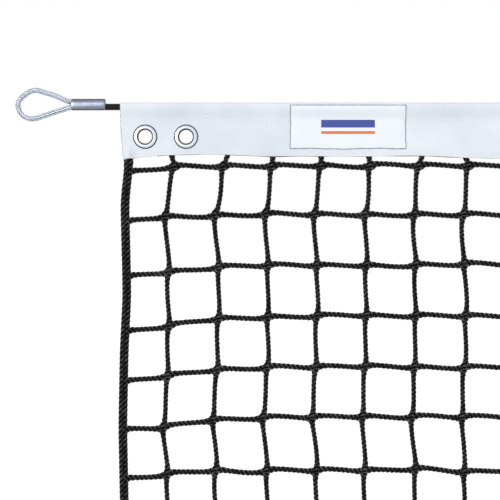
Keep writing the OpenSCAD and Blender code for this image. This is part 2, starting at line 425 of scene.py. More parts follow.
@dataclass(frozen=True)
class NickelPlate(Finish):
    """Nickel-plated pressed brass: bright on the rolled crown, with painted shade and painted reflection making it dark
    in the barrel and at the rim.
    """

    bright: str = "#d6dbe3"
    # The dark colour is painted shade and painted reflection, for the barrel and the rim.
    dark: str = "#262a31"
    # Radii where the painted dark barrel gives way to the bright crown, and the crown to the painted dark rim.
    crown_mm: tuple[float, float, float, float] = (7.6, 8.2, 9.9, 10.5)

    def dress(self, tree: bpy.types.NodeTree, surface: bpy.types.Node, place: bpy.types.NodeSocket) -> None:
        """Paint light and shade on the ring by how far each point is from its own middle: a bright crown, a dark barrel
        and a dark rim.
        """
        flat = add_node(tree, "VectorMath", {1: (1.0, 0.0, 1.0)}, {0: place}, operation="MULTIPLY")
        radius = add_node(tree, "VectorMath", {}, {0: flat.outputs[0]}, operation="LENGTH")
        inner, crown, crown_end, rim = (r * MM for r in self.crown_mm)
        rise = add_node(tree, "MapRange", {1: inner, 2: crown}, {0: radius.outputs["Value"]},
                        interpolation_type="SMOOTHSTEP")
        fall = add_node(tree, "MapRange", {1: crown_end, 2: rim, 3: 1.0, 4: 0.0}, {0: radius.outputs["Value"]},
                        interpolation_type="SMOOTHSTEP")
        # Painted light by radius: 1 on the bright crown, 0 where painted shade darkens the barrel and the rim.
        painted_crown_light = add_node(tree, "Math", {}, {0: rise.outputs[0], 1: fall.outputs[0]}, operation="MULTIPLY")
        grime = add_node(tree, "TexNoise", {"Scale": per_metre(5), "Detail": 3.0}, {"Vector": place})
        share = add_node(tree, "Math", {1: 0.12}, {0: grime.outputs[0], 2: painted_crown_light.outputs[0]},
                         operation="MULTIPLY_ADD", use_clamp=True)
        colour = add_node(tree, "Mix", {6: linear(self.dark), 7: linear(self.bright)}, {0: share.outputs[0]},
                          data_type="RGBA")
        tree.links.new(colour.outputs[2], surface.inputs["Base Color"])
        rough = add_node(tree, "MapRange", {3: 0.42, 4: 0.2}, {0: share.outputs[0]})
        tree.links.new(rough.outputs[0], surface.inputs["Roughness"])
        surface.inputs["Metallic"].default_value = 1.0


@dataclass(frozen=True)
class GalvanisedWire(Finish):
    """Hot-dip galvanised steel wire: bluish grey, softly shining, with the wires' own lay along each strand."""

    light: str = "#cdd6e4"
    # The dark colour serves the wires' own bands and the painted shade in the grooves.
    dark: str = "#232833"
    wire_mm: float = 0.45

    def dress(self, tree: bpy.types.NodeTree, surface: bpy.types.Node, place: bpy.types.NodeSocket) -> None:
        """Draw the fine wires and the zinc's mottling, and paint shade in the grooves between the strands."""
        wires = add_node(tree, "TexWave", {"Scale": per_metre(self.wire_mm) / 20, "Distortion": 3.0,
                                           "Detail": 2.0, "Detail Scale": 2.0}, {"Vector": place},
                         bands_direction="DIAGONAL")
        zinc = add_node(tree, "TexNoise", {"Scale": per_metre(2.5), "Detail": 4.0}, {"Vector": place})
        mixed = add_node(tree, "Math", {1: 0.45}, {0: wires.outputs[1], 2: zinc.outputs[0]},
                         operation="MULTIPLY_ADD")
        # Painted shade: points low on their strand, in the grooves and on the core, are drawn darker.
        crown = add_node(tree, "Attribute", attribute_name=CROWN)
        painted_groove_shade = add_node(tree, "Math", {1: 1.45, 2: -1.0}, {0: crown.outputs["Fac"]}, operation="MULTIPLY_ADD")
        lit = add_node(tree, "Math", {}, {0: mixed.outputs[0], 1: painted_groove_shade.outputs[0]}, operation="ADD")
        share = add_node(tree, "MapRange", {1: 0.3, 2: 0.95}, {0: lit.outputs[0]})
        colour = add_node(tree, "Mix", {6: linear(self.dark), 7: linear(self.light)}, {0: share.outputs[0]},
                          data_type="RGBA")
        tree.links.new(colour.outputs[2], surface.inputs["Base Color"])
        raised = add_node(tree, "Bump", {"Strength": 0.6, "Distance": 0.08 * MM}, {"Height": wires.outputs[1]})
        tree.links.new(raised.outputs[0], surface.inputs["Normal"])
        surface.inputs["Metallic"].default_value = 0.85
        surface.inputs["Roughness"].default_value = 0.36


@dataclass(frozen=True)
class SwagedAluminium(Finish):
    """Pressed aluminium: drawn lines along the sleeve, bright flanks, and a dark band along both edges that is partly
    where the die closed and partly painted reflection.
    """

    light: str = "#d6e0f8"
    dark: str = "#363b46"
    drawn_mm: float = 0.35
    half_mm: float = 5.4
    flank: float = 0.34
    # How far the edges are darkened: partly the die's mark, partly painted reflection.
    edge: float = 0.1
    die_mark_and_painted_reflection_share: float = 0.16

    def dress(self, tree: bpy.types.NodeTree, surface: bpy.types.Node, place: bpy.types.NodeSocket) -> None:
        """Draw the lines along the sleeve, and darken a band along both edges, partly where the die closed and partly
        as painted reflection.
        """
        stretched = add_node(tree, "VectorMath", {1: (0.04, 1.0, 1.0)}, {0: place}, operation="MULTIPLY")
        lines = add_node(tree, "TexNoise", {"Scale": per_metre(self.drawn_mm * 3), "Detail": 4.0},
                         {"Vector": stretched.outputs[0]})
        parts = add_node(tree, "SeparateXYZ", links={0: place})
        away = add_node(tree, "Math", {}, {0: parts.outputs["Z"]}, operation="ABSOLUTE")
        # Darker along both edges by height: partly the die's mark, partly painted reflection.
        band = add_node(tree, "MapRange", {1: self.half_mm * (1 - 2 * self.die_mark_and_painted_reflection_share) * MM,
                                           2: self.half_mm * (1 - self.die_mark_and_painted_reflection_share) * MM, 3: self.flank,
                                           4: self.edge}, {0: away.outputs[0]}, interpolation_type="SMOOTHSTEP")
        shade = add_node(tree, "MapRange", {1: 0.3, 2: 0.7, 3: 0.55, 4: 1.0}, {0: lines.outputs[0]})
        share = add_node(tree, "Math", {}, {0: band.outputs[0], 1: shade.outputs[0]}, operation="MULTIPLY")
        colour = add_node(tree, "Mix", {6: linear(self.dark), 7: linear(self.light)}, {0: share.outputs[0]},
                          data_type="RGBA")
        tree.links.new(colour.outputs[2], surface.inputs["Base Color"])
        raised = add_node(tree, "Bump", {"Strength": 0.4, "Distance": 0.05 * MM}, {"Height": lines.outputs[0]})
        tree.links.new(raised.outputs[0], surface.inputs["Normal"])
        surface.inputs["Metallic"].default_value = 1.0
        surface.inputs["Roughness"].default_value = 0.3


@dataclass(frozen=True)
class BlackPVC(Finish):
    """Extruded soft PVC: glossy black and faintly wavy, so that a lamp draws a soft line along it."""

    colour: str = "#030304"
    scuff: str = "#161617"

    def dress(self, tree: bpy.types.NodeTree, surface: bpy.types.Node, place: bpy.types.NodeSocket) -> None:
        """Draw the extrusion's waviness and light scuffs."""
        scuffs = add_node(tree, "TexNoise", {"Scale": per_metre(4), "Detail": 5.0}, {"Vector": place})
        share = add_node(tree, "MapRange", {1: 0.5, 2: 0.75}, {0: scuffs.outputs[0]})
        colour = add_node(tree, "Mix", {6: linear(self.colour), 7: linear(self.scuff)}, {0: share.outputs[0]},
                          data_type="RGBA")
        tree.links.new(colour.outputs[2], surface.inputs["Base Color"])
        raised = add_node(tree, "Bump", {"Strength": 0.15, "Distance": 0.1 * MM}, {"Height": scuffs.outputs[0]})
        tree.links.new(raised.outputs[0], surface.inputs["Normal"])
        surface.inputs["Roughness"].default_value = 0.2
        surface.inputs["Specular IOR Level"].default_value = 0.2


@dataclass(frozen=True)
class BraidedPolyethylene(Finish):
    """Braided black polyethylene: near-black fibres with lighter flecks, a painted sheen on the crown of each strand
    and painted shade between the strands.
    """

    deep: str = "#030304"
    # The light colour serves the fibres' own flecks and the painted sheen on the strands' crowns.
    fleck_and_sheen: str = "#6a6a6c"
    fibre_mm: float = 0.5
    roughness: float = 0.5
    painted_crown_sheen: float = 0.62

    def dress(self, tree: bpy.types.NodeTree, surface: bpy.types.Node, place: bpy.types.NodeSocket) -> None:
        """Draw the fibres and their lighter flecks, and paint a sheen on each strand's crown and shade between the
        strands.
        """
        fibres = add_node(tree, "TexNoise", {"Scale": per_metre(self.fibre_mm * 2), "Detail": 3.0,
                                             "Roughness": 0.7}, {"Vector": place})
        wear = add_node(tree, "TexNoise", {"Scale": per_metre(9), "Detail": 1.0}, {"Vector": place})
        mixed = add_node(tree, "Math", {1: 0.5}, {0: wear.outputs[0], 2: fibres.outputs[0]},
                         operation="MULTIPLY_ADD")
        # Painted light: high points of each strand are drawn lighter, as sheen, and low points darker, as shade.
        crown = add_node(tree, "Attribute", attribute_name=CROWN)
        height = add_node(tree, "MapRange", {1: 0.45, 2: 1.0, 3: -0.25, 4: self.painted_crown_sheen}, {0: crown.outputs["Fac"]})
        lit = add_node(tree, "Math", {}, {0: mixed.outputs[0], 1: height.outputs[0]}, operation="ADD")
        share = add_node(tree, "MapRange", {1: 0.7, 2: 1.35}, {0: lit.outputs[0]})
        colour = add_node(tree, "Mix", {6: linear(self.deep), 7: linear(self.fleck_and_sheen)}, {0: share.outputs[0]},
                          data_type="RGBA")
        tree.links.new(colour.outputs[2], surface.inputs["Base Color"])
        raised = add_node(tree, "Bump", {"Strength": 0.5, "Distance": 0.15 * MM}, {"Height": fibres.outputs[0]})
        tree.links.new(raised.outputs[0], surface.inputs["Normal"])
        surface.inputs["Roughness"].default_value = self.roughness
        surface.inputs["Specular IOR Level"].default_value = 0.06


# ------------------------------------------------------------------------------------------------ cable


@dataclass
class CableEnd:
    """One end of the cable: a teardrop of six bare strands, closed by a swaged sleeve."""

    side: Side
    middle: float
    eye_radius: float
    wire: float = 5.1
    bend: float = 10.0
    strand_gap: float = 0.2
    lay: float = 18.0
    shear: float = 0.26
    bulge: float = 1.1
    strands: int = 6
    inside: float = 6.0
    steel: Finish = GalvanisedWire("galvanised_wire")
    sleeve: Finish = SwagedAluminium("swaged_aluminium")

    def place(self, points: Array) -> Array:
        """Mirror points to the right end where the piece belongs there."""
        if self.side is Side.LEFT:
            return points
        moved = points.copy()
        moved[..., 0] = 2 * self.middle - moved[..., 0]
        return moved

    def path(self, start: float) -> Array:
        """Give the rope's middle line round the eye.

        Args:
            start: how far from the eye's middle the sleeve begins.

        Returns:
            Points evenly spaced from inside the sleeve, round the eye and back.
        """
        level = (self.wire + self.strand_gap) / 2
        lean = math.asin((self.eye_radius + self.bend) / math.hypot(start, level + self.bend))
        lean -= math.atan2(level + self.bend, start)
        turn = np.linspace(0, lean, 12)
        bend = np.stack([start - self.bend * np.sin(turn), level + self.bend * (1 - np.cos(turn))], axis=-1)
        sweep = np.linspace(math.pi / 2 - lean, 3 * math.pi / 2 + lean, 90)
        eye = self.eye_radius * np.stack([np.cos(sweep), np.sin(sweep)], axis=-1)
        entry = np.array([[start + self.inside, level]])
        under = np.array([1.0, -1.0])
        flat = np.concatenate([entry, bend, eye, (bend * under)[::-1], entry * under])
        at = lengths(flat)
        even = np.linspace(0, at[-1], 240)
        x, z = np.interp(even, at, flat[:, 0]), np.interp(even, at, flat[:, 1])
        upper = ease(z / self.eye_radius) * (1 - ease(x / start))
        z = z + np.where(z > 0, self.bulge * bump(x, start * 0.55, start * 0.22), 0.0)
        return np.stack([x + self.shear * self.eye_radius * upper, np.zeros(240), z], axis=-1)

    def build_loop(self, node: str, start: float) -> None:
        """Twist the strands round the eye and round their core."""
        line = self.path(start)
        at = lengths(line)
        thin = self.wire / 6
        shell = Shell()
        rope = tube(line, np.full((len(line), 1), 1.0))
        first = rope[:, 0] - line
        ahead = np.gradient(line, axis=0)
        ahead /= np.linalg.norm(ahead, axis=-1, keepdims=True)
        second = np.cross(ahead, first)
        for strand in range(self.strands):
            turn = (2 * math.pi * strand / self.strands + 2 * math.pi * at / self.lay)[:, None]
            middle = line + 2 * thin * (np.cos(turn) * first + np.sin(turn) * second)
            around = np.arange(12) * math.pi / 6
            wires = 1 + 0.06 * np.cos(6 * (around[None, :] - at[:, None] / 2.2))
            rings = tube(middle, thin * wires)
            # How far out each point stands: the wire's finish paints shade between the strands and on the core from it.
            out = np.linalg.norm(rings - line[:, None], axis=-1)
            shell.grid(self.place(rings), flip=self.side is Side.RIGHT, crown=ease((out / thin - 2.45) / 0.5))
        shell.grid(self.place(tube(line, np.full((len(line), 8), thin))), flip=self.side is Side.RIGHT)
        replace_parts(shell.make(f"{node}_strands", self.steel, Body.CABLE), node)

    def build_sleeve(self, node: str) -> None:
        """Loft the swaged sleeve, rounded at its ends and drawn in a little by each stroke of the die."""
        low, high = box_mm(node)
        centre, half = (low + high) / 2, (high - low) / 2
        along = np.linspace(-1, 1, 61)
        edge = 1 - np.abs(along)
        round_off = 1 - 0.08 * np.exp(-edge * half[0] / 0.6)
        strokes = 1 - 0.006 * np.abs(np.sin(along * 3 * math.pi / 2)) ** 8
        turn = np.arange(56) * 2 * math.pi / 56
        power = 2 / 2.5
        across = np.sign(np.cos(turn)) * np.abs(np.cos(turn)) ** power * half[1]
        upright = np.sign(np.sin(turn)) * np.abs(np.sin(turn)) ** power * half[2]
        scale = round_off * strokes
        rings = [np.stack([np.full(56, x), y * across, y * upright], axis=-1)
                 for x, y in zip(along * half[0], scale)]
        mouth = [np.array([1.0, s, s]) * rings[0] for s in (0.93, 0.8, 0.55, 0.05)]
        heel = [np.array([1.0, s, s]) * rings[-1] for s in (0.93, 0.8, 0.55, 0.05)]
        body = np.stack(mouth[::-1] + rings + heel)
        shell = Shell()
        shell.grid(body + centre, flip=True)
        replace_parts(shell.make(f"{node}_sleeve", self.sleeve, Body.CABLE, centre), node)


# ----------------------------------------------------------------------------------------------- band


@dataclass
class Headband:
    """The white band, folded over the cable, with its seams, label and eyelets."""

    start: float
    end: float
    top: float
    bottom: float
    cable_z: float
    cloth: float = 0.84
    half: float = 0.47
    taper: float = 13.0
    seam_heights: tuple[float, float] = (-16.0, -44.9)
    stitch_pitch: float = 3.5
    eyelet_calm: float = 95.0
    rope_inset: float = 6.0
    pocket: float = 3.7
    weave: Finish = WovenPolyester("white_polyester")
    satin: Finish = LabelSatin("label_fabric")
    thread: Finish = SewingThread("white_thread")
    # Grey thread for the band's cut ends; round the label it is painted shadow along the label's edge.
    grey_thread: Finish = SewingThread("grey_thread", "#858b95", "#555a63")
    plate: Finish = NickelPlate("nickel_plate")
    cord: Finish = BraidedPolyethylene("black_cord")

    @property
    def middle(self) -> float:
        """The middle of the band's length."""
        return (self.start + self.end) / 2

    @property
    def fold_radius(self) -> float:
        """Radius of the cloth's own middle line round the cable."""
        return self.top - self.cloth / 2 - self.cable_z

    def side_of(self, height: Array) -> Array:
        """Give how far the cloth's middle line lies from the net's plane, below the cable."""
        share = ease((height - self.cable_z + self.taper) / self.taper)
        return self.half + (self.fold_radius - self.half) * share

    def flow(self, points: Array) -> Array:
        """Give cloth its real unevenness: slow ripples, a wandering lower edge and slightly hollow ends."""
        x, y, z = (points[..., i] for i in range(3))
        inward = np.minimum(x - self.start, self.end - x)
        low = np.clip((-16 - z) / 32, 0, 1)
        calm = ease((inward - self.eyelet_calm) / 60)
        ripple = 0.45 * np.sin(x / 31 + 0.6) + 0.35 * np.sin(x / 12.5 + z / 20) + 0.3 * np.sin(x / 83)
        wander = (-3.3 * bump(inward, 0, 22) + 1.5 * bump(inward, 80, 45) - 2.1 * bump(inward, 330, 55)
                  + calm * (0.7 * np.sin(x / 47) + 0.5 * np.sin(x / 19 + 1)))
        drop = wander * np.clip((-34 - z) / 14, 0, 1) ** 1.5
        pocket = self.pocket * bump(inward, self.rope_inset, 5.0) * ease((-36 - z) / 8)
        inset = (2.6 * low ** 1.5 + 0.25 * np.sin(z * 1.3) + 0.15 * np.sin(z * 3.1)) * np.exp(-inward / 9)
        toward = np.where(x < self.middle, 1.0, -1.0)
        return np.stack([x + toward * inset, y + ripple * low * calm + np.sign(y) * pocket, z + drop], axis=-1)

    def stations(self) -> Array:
        """Give the places along the band where a section is drawn, close together near its ends."""
        near = np.arange(0, 420, 2.0)
        far = np.linspace(420, self.middle - self.start, 190)
        half = np.concatenate([near, far[:-1]])
        return np.concatenate([self.start + half, [self.middle], (self.end - half)[::-1]])

    def build_cloth(self) -> None:
        """Fold the strip over the cable, with the thickness of its cloth."""
        heights = np.concatenate([np.linspace(self.bottom, self.bottom + 1, 3)[:-1],
                                  np.linspace(self.bottom + 1, self.cable_z, 20)[:-1]])
        turn = np.linspace(0, math.pi, 15)
        front = np.stack([-self.side_of(heights), heights], axis=-1)
        over = np.stack([-self.fold_radius * np.cos(turn), self.cable_z + self.fold_radius * np.sin(turn)], axis=-1)
        line = np.concatenate([front, over, (front * np.array([-1.0, 1.0]))[::-1]])
        ahead = np.gradient(line, axis=0)
        ahead /= np.linalg.norm(ahead, axis=-1, keepdims=True)
        out = np.stack([-ahead[:, 1], ahead[:, 0]], axis=-1) * self.cloth / 2
        section = np.concatenate([line + out, (line - out)[::-1]])
        xs = self.stations()
        grid = np.empty((len(xs), len(section), 3))
        grid[..., 0] = xs[:, None]
        grid[..., 1:] = section
        shell = Shell()
        flowed = self.flow(grid)
        shell.grid(flowed, flip=True)
        self.punch(shell)
        count = len(line)
        for row, flip in ((0, True), (-1, False)):
            pair = np.stack([flowed[row, :count], flowed[row, count:][::-1]])
            shell.grid(pair, ring=False, flip=flip)
        band = shell.make("headband_cloth", self.weave, Body.BAND)
        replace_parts(band, "headband")

    def punch(self, shell: Shell) -> None:
        """Cut the holes for the eyelets' barrels out of the cloth, wider than a barrel and hidden by its flange."""
        points = np.concatenate(shell.points)
        centres = points[shell.quads[-1]].mean(axis=1)
        kept = np.ones(len(centres), dtype=bool)
        for node in EYELETS:
            low, high = box_mm(f"eyelet_{node}")
            away = np.hypot(centres[:, 0] - (low[0] + high[0]) / 2, centres[:, 2] - (low[2] + high[2]) / 2)
            kept &= away > 8.4
        shell.quads[-1] = shell.quads[-1][kept]

    def build_end_thread(self, side: Side) -> None:
        """Lay grey thread along the band's cut end, as a thin toothed line."""
        height = np.linspace(self.bottom + 0.6, self.cable_z + 1, 420)
        tooth = np.sin(height * 2 * math.pi / 1.9)
        toward = 1.0 if side is Side.LEFT else -1.0
        edge = self.start if side is Side.LEFT else self.end
        depth = -(self.side_of(height) + self.cloth / 2 + 0.05)
        line = self.flow(np.stack([edge + toward * (0.15 + 0.22 * tooth), depth * (0.6 + 0.4 * tooth), height], axis=-1))
        shell = Shell()
        shell.grid(tube(line, np.full((len(line), 6), 0.24)))
        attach(shell.make(f"end_thread_{side.value}", self.grey_thread, Body.BAND), Body.BAND.value)

    def build_head_cord(self) -> None:
        """Lay the black line that the mesh is tied to between the layers, where it peeps out below the cloth."""
        xs = np.concatenate([np.arange(self.start + 34, self.start + 520, 2.0),
                             np.arange(self.start + 520, self.end - 34, 9.0)])
        height = self.bottom + 0.28 + 0.2 * np.sin(xs / 21) + 0.16 * np.sin(xs / 6.3)
        line = self.flow(np.stack([xs, 0 * xs, height], axis=-1))
        shell = Shell()
        shell.grid(tube(line, np.full((len(xs), 6), 0.6)))
        shell.make("head_cord", self.cord, Body.BAND)

    def build_stitches(self, name: str, node: str, height: float) -> None:
        """Sew one line of stitches through both layers, showing on the front and on the back."""
        starts = np.arange(self.start + 2, self.end - 4, self.stitch_pitch)
        share = np.array([0.0, 0.5, 1.0])
        length = 0.72 * self.stitch_pitch
        shell = Shell()
        for face in (-1, 1):
            away = float(self.side_of(np.array(height))) + self.cloth / 2 + 0.02
            line = np.empty((len(starts), 3, 3))
            line[..., 0] = starts[:, None] + share * length
            line[..., 1] = face * (away + np.array([-0.25, 0.08, -0.25]))
            line[..., 2] = height + 0.12 * (share - 0.5)
            radius = np.broadcast_to(np.array([0.06, 0.27, 0.06])[:, None], (len(starts), 3, 4))
            shell.grid(tube(self.flow(line), radius))
        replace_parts(shell.make(name, self.thread, Body.BAND), node)

    def on_front(self, x: Array, height: Array, lift: float) -> Array:
        """Give points on the band's front face.

        Args:
            x: places along the band.
            height: heights on it, in the same shape.
            lift: how far the points stand off the cloth.

        Returns:
            Points in space, with the cloth's unevenness.
        """
        off = self.cloth / 2 + lift
        below = self.side_of(height) + off
        above = np.sqrt(np.maximum((self.fold_radius + off) ** 2 - (height - self.cable_z) ** 2, 0.0))
        depth = -np.where(height > self.cable_z, above, below)
        return self.flow(np.stack([x, depth, height], axis=-1))

    def build_label(self, body_of_label: str, stitching: str) -> None:
        """Sew the label on: a thin patch with a slightly uneven outline, and grey thread at its edge that is painted
        shadow along that edge.
        """
        low, high = box_mm(body_of_label)
        across, up = np.linspace(0, 1, 81), np.linspace(0, 1, 41)
        edge_x = 0.2 * np.sin(up * 19) + 0.15 * np.sin(up * 7 + 1)
        edge_z = 0.3 * np.sin(across * 11) + 0.12 * np.sin(across * 31 + 2)
        low, high = low - np.array([0, 0, 0.5]), high - np.array([0, 0, 1.4])
        x = low[0] + (high[0] - low[0]) * across[:, None] + edge_x[None, :] * (2 * across[:, None] - 1)
        z = low[2] + (high[2] - low[2]) * up[None, :] + edge_z[:, None] * (1 - up[None, :])
        margin = np.minimum(np.minimum(across, 1 - across)[:, None] * 107, np.minimum(up, 1 - up)[None, :] * 41)
        puff = 0.3 * ease(margin / 5)
        outer = self.on_front(x, z, 0.35)
        outer[..., 1] -= puff
        inner = self.on_front(x, z, 0.04)
        rim = [(0, slice(None)), (slice(None), -1), (-1, slice(None, None, -1)), (slice(None, None, -1), 0)]
        border_out = np.concatenate([outer[i, j][:-1] for i, j in rim])
        border_in = np.concatenate([inner[i, j][:-1] for i, j in rim])
        shell = Shell()
        shell.grid(outer, ring=False, flip=True)
        shell.grid(inner, ring=False)
        shell.grid(np.stack([border_in, border_out]), flip=True)
        label = shell.make("label_patch", self.satin, Body.BAND, (low + high) / 2)
        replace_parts(label, body_of_label)
        # The grey thread round the label is painted shadow along the label's edge.
        edge = Shell()
        line = np.concatenate([border_out, border_out[:1]])
        at = lengths(line)
        even = np.linspace(0, at[-1], 1201)[:-1]
        line = np.stack([np.interp(even, at, line[:, i]) for i in range(3)], axis=-1)
        line[:, 1] -= 0.05
        dash = 0.26 + 0.08 * np.abs(np.sin(even * math.pi / 2.8))
        radius = np.broadcast_to(dash[:, None], (1200, 8))
        edge.grid(tube(line, radius, np.array([0.0, 1.0, 0.02]), closed=True), loop=True)
        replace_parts(edge.make("label_edge_painted_shadow", self.grey_thread, Body.BAND), stitching)

    def build_eyelet(self, node: str, washer: str) -> None:
        """Turn an eyelet: a rolled flange in front, a barrel through both layers and a curl at the back."""
        low, high = box_mm(node)
        centre = np.array([(low[0] + high[0]) / 2, 0.0, (low[2] + high[2]) / 2])
        rim = (high[0] - low[0]) / 2
        front, back = low[1], high[1]
        profile = np.array([
            (6.3, 0.0), (6.3, front + 0.75), (6.42, front + 0.4), (6.75, front + 0.14), (7.3, front + 0.02),
            (8.2, front), (9.2, front + 0.05), (10.1, front + 0.22), (10.8, front + 0.5),
            (rim - 0.12, front + 0.85), (rim, front + 1.15), (rim - 0.3, front + 1.3), (9.0, front + 1.26),
            (7.1, front + 1.3), (6.9, -0.5), (6.9, 1.5), (7.0, back - 0.6), (8.5, back - 0.62),
            (8.5, back - 0.3), (8.1, back - 0.05), (7.5, back), (6.8, back - 0.12), (6.4, back - 0.4)])
        turn = np.arange(80) * math.pi / 40
        ring = np.empty((len(profile), 80, 3))
        ring[..., 0] = profile[:, :1] * np.cos(turn)
        ring[..., 1] = profile[:, 1:]
        ring[..., 2] = profile[:, :1] * np.sin(turn)
        shell = Shell()
        shell.grid(ring + centre, loop=True)
        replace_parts(shell.make(f"{node}_ring", self.plate, Body.BAND, centre), node)
        # The washers take the nickel's painted shade by radius; measured from the model's origin, they come out dark
        # all over.
        dress_node(washer, self.plate)

    def build(self) -> None:
        """Build the whole band."""
        self.build_cloth()
        self.build_stitches("channel_stitches", "channel_seam", self.seam_heights[0])
        self.build_stitches("edge_stitches", "edge_seam", self.seam_heights[1])
        self.build_label("label", "label_stitching")
        self.build_head_cord()
        for end in Side:
            self.build_end_thread(end)
        for side in EYELETS:
            self.build_eyelet(f"eyelet_{side}", f"washer_{side}")


# --------------------------------------------------------------------------------------------- netting


@dataclass(frozen=True)
class Braid:
    """A round braid: as many strands turn one way as the other, and they pass over and under each other."""

    diameter: float
    strands: int
    lay: float
    relief: float

    def radius(self, along: Array, around: int, slant: float = 1.35) -> tuple[Array, Array]:
        """Give the braid's radius at each point of its rings.

        Args:
            along: the distance along the cord, shaped (..., points).
            around: points in each ring.
            slant: how much further the strands of one hand stand out.

        Returns:
            Radii and the crown of each point, from 0 to 1, both shaped (..., points, ring).
        """
        turn = np.arange(around) * 2 * math.pi / around
        wound = (along * 2 * math.pi * self.strands / self.lay)[..., None]
        one, other = self.strands * turn - wound, self.strands * turn + wound
        over = 0.5 + 0.5 * np.cos(one / 2) * np.cos(other / 2)
        crown_one = (0.5 + 0.5 * np.cos(one)) * (0.35 + 0.65 * over) * slant
        crown_other = (0.5 + 0.5 * np.cos(other)) * (0.2 + 0.6 * (1 - over))
        height = np.clip(np.maximum(crown_one, crown_other), 0, 1)
        return self.diameter / 2 * (1 - self.relief * (1 - height)), height


@dataclass
class Netting:
    """The square mesh of knotted cord, hung between the side ropes, with the bottom rope below."""

    rope_left: float
    rope_right: float
    first_column: float
    last_column: float
    first_row: float
    last_row: float
    hinge: float
    bottom: float
    band: Headband
    columns: int = 275
    rows: int = 21
    fine_columns: int = 9
    panel_columns: int = 25
    row_sway: tuple[float, ...] = (5.5, -2.0, 1.0, 1.0, 0.0, -4.5)
    row_lift: tuple[float, ...] = (-0.6, 2.5, 3.5, 3.5, 4.0, 5.0)
    row_droop: tuple[float, ...] = (0.5, 3.0, 8.0, 10.0, 10.0, 11.0)
    rope_drop: tuple[float, ...] = (6.5, 5.5, 9.0, 12.5, 11.5, 9.0)
    swing_room: float = 1.2
    knot_slope: float = math.radians(42)
    seed: int = 7
    column_braid: Braid = Braid(5.15, 3, 12.0, 0.4)
    row_braid: Braid = Braid(5.7, 3, 12.5, 0.4)
    knot_braid: Braid = Braid(4.8, 3, 11.0, 0.34)
    rope_braid: Braid = Braid(8.8, 5, 23.0, 0.15)
    cord: Finish = BraidedPolyethylene("black_cord")
    rope: Finish = BraidedPolyethylene("black_rope", "#030304", "#6a6a6c", 1.0, 0.46, 0.34)

    def __post_init__(self) -> None:
        """Place every knot."""
        draw = np.random.default_rng(self.seed)
        shape = (self.rows, self.columns)
        along = np.linspace(self.first_column, self.last_column, self.columns)
        down = np.linspace(self.first_row, self.last_row, self.rows)
        index = np.arange(self.columns)
        inward = np.minimum(index, index[::-1])
        toward = np.where(index < self.columns / 2, 1.0, -1.0)
        settle = np.exp(-inward / 9)

        def rows_of(listed: tuple[float, ...], later: float) -> Array:
            more = later * draw.uniform(0.4, 1.0, self.rows - len(listed))
            return np.concatenate([listed, more])[:, None]

        sway = rows_of(self.row_sway, -2.0) * settle * toward
        lift = rows_of(self.row_lift, 3.0) * np.exp(-inward / 14)
        droop = rows_of(self.row_droop, 6.0) * np.exp(-inward / 0.9)
        self.drops = rows_of(self.rope_drop, 8.0)[:, 0]
        jitter = draw.normal(0, 1, (3,) + shape)
        jitter[:, :6, inward < 9] *= 0.45
        jitter[:, 0] *= 0.5
        self.knots = np.stack([along + sway + 0.9 * jitter[0], 0.5 * jitter[2] + 0 * sway,
                               down[:, None] + lift - droop + 0.8 * jitter[1]], axis=-1)
        self.lean = draw.normal(0, 1.6, self.columns)
        self.lean[[1, 5]] = (6.0, 4.5)
        self.bow = draw.normal(0, 0.7, (4, self.rows + 1, self.columns + 1))

    def rope_sway(self, height: Array) -> Array:
        """Give how far the left side rope hangs out of line at each height."""
        heights = np.array([-1060, -800, -500, -300, -228, -177, -140, -90, -58, -44])
        swings = np.array([0, -2, 0, -4.0, -2.6, 0, -0.8, -2.0, 1.6, 1.8])
        fine = np.arange(-1064, -40, 2.0)
        smooth = np.convolve(np.interp(np.arange(-1104, 0, 2.0), heights, swings), np.hanning(21) / 10, "same")
        return np.interp(height, fine, smooth[20:20 + len(fine)])

    def rope_x(self, side: Side, height: Array) -> Array:
        """Give where a side rope's middle lies at each height."""
        if side is Side.LEFT:
            return self.rope_left + self.rope_sway(height)
        return self.rope_right - self.rope_sway(height)

    def cords(self, start: Array, end: Array, bows: Array, steps: int, upright: bool) -> Array:
        """Run cords from knot to knot.

        Args:
            start: where each cord leaves its knot, shaped (cords, 3).
            end: where it reaches the next one.
            bows: how far each cord bows across its line and in depth, shaped (2, cords).
            steps: points along each cord.
            upright: whether the cords are the mesh's upright ones.

        Returns:
            Centre lines shaped (cords, steps, 3).
        """
        share = np.linspace(0, 1, steps)
        share = 0.5 - 0.5 * np.cos(math.pi * share) * (0.55 + 0.45 * np.abs(np.cos(math.pi * share)))
        line = start[:, None] + (end - start)[:, None] * share[:, None]
        held = (1 - 2 * share) * (1 - np.exp(-share / 0.11)) * (1 - np.exp(-(1 - share) / 0.11))
        arch = 4 * share * (1 - share)
        if upright:
            line[..., 0] += -1.4 * held + bows[0][:, None] * arch
        else:
            line[..., 2] += 1.9 * held + bows[0][:, None] * arch
        line[..., 1] += bows[1][:, None] * arch
        return line

    def skin(self, shell: Shell, line: Array, braid: Braid, detail: Detail) -> None:
        """Braid the cords round their centre lines, a little fuller where a knot grips them."""
        at = lengths(line)
        far = np.minimum(at, at[:, -1:] - at)
        full = (1 + 0.5 * np.exp(-(far / 6.5) ** 2))[..., None]
        radius, crown = self.section(braid, at, detail)
        shell.grid(tube(line, radius * full), crown=crown)

    def section(self, braid: Braid, at: Array, detail: Detail) -> tuple[Array, Array]:
        """Give a cord's radii and crowns: the braid's own where it is drawn finely, and a plain round else."""
        if detail is Detail.FINE:
            return braid.radius(at, detail.around)
        plain = np.full(at.shape + (detail.around,), braid.diameter / 2 * (1 - braid.relief * 0.45))
        return plain, np.full(plain.shape, 0.55)

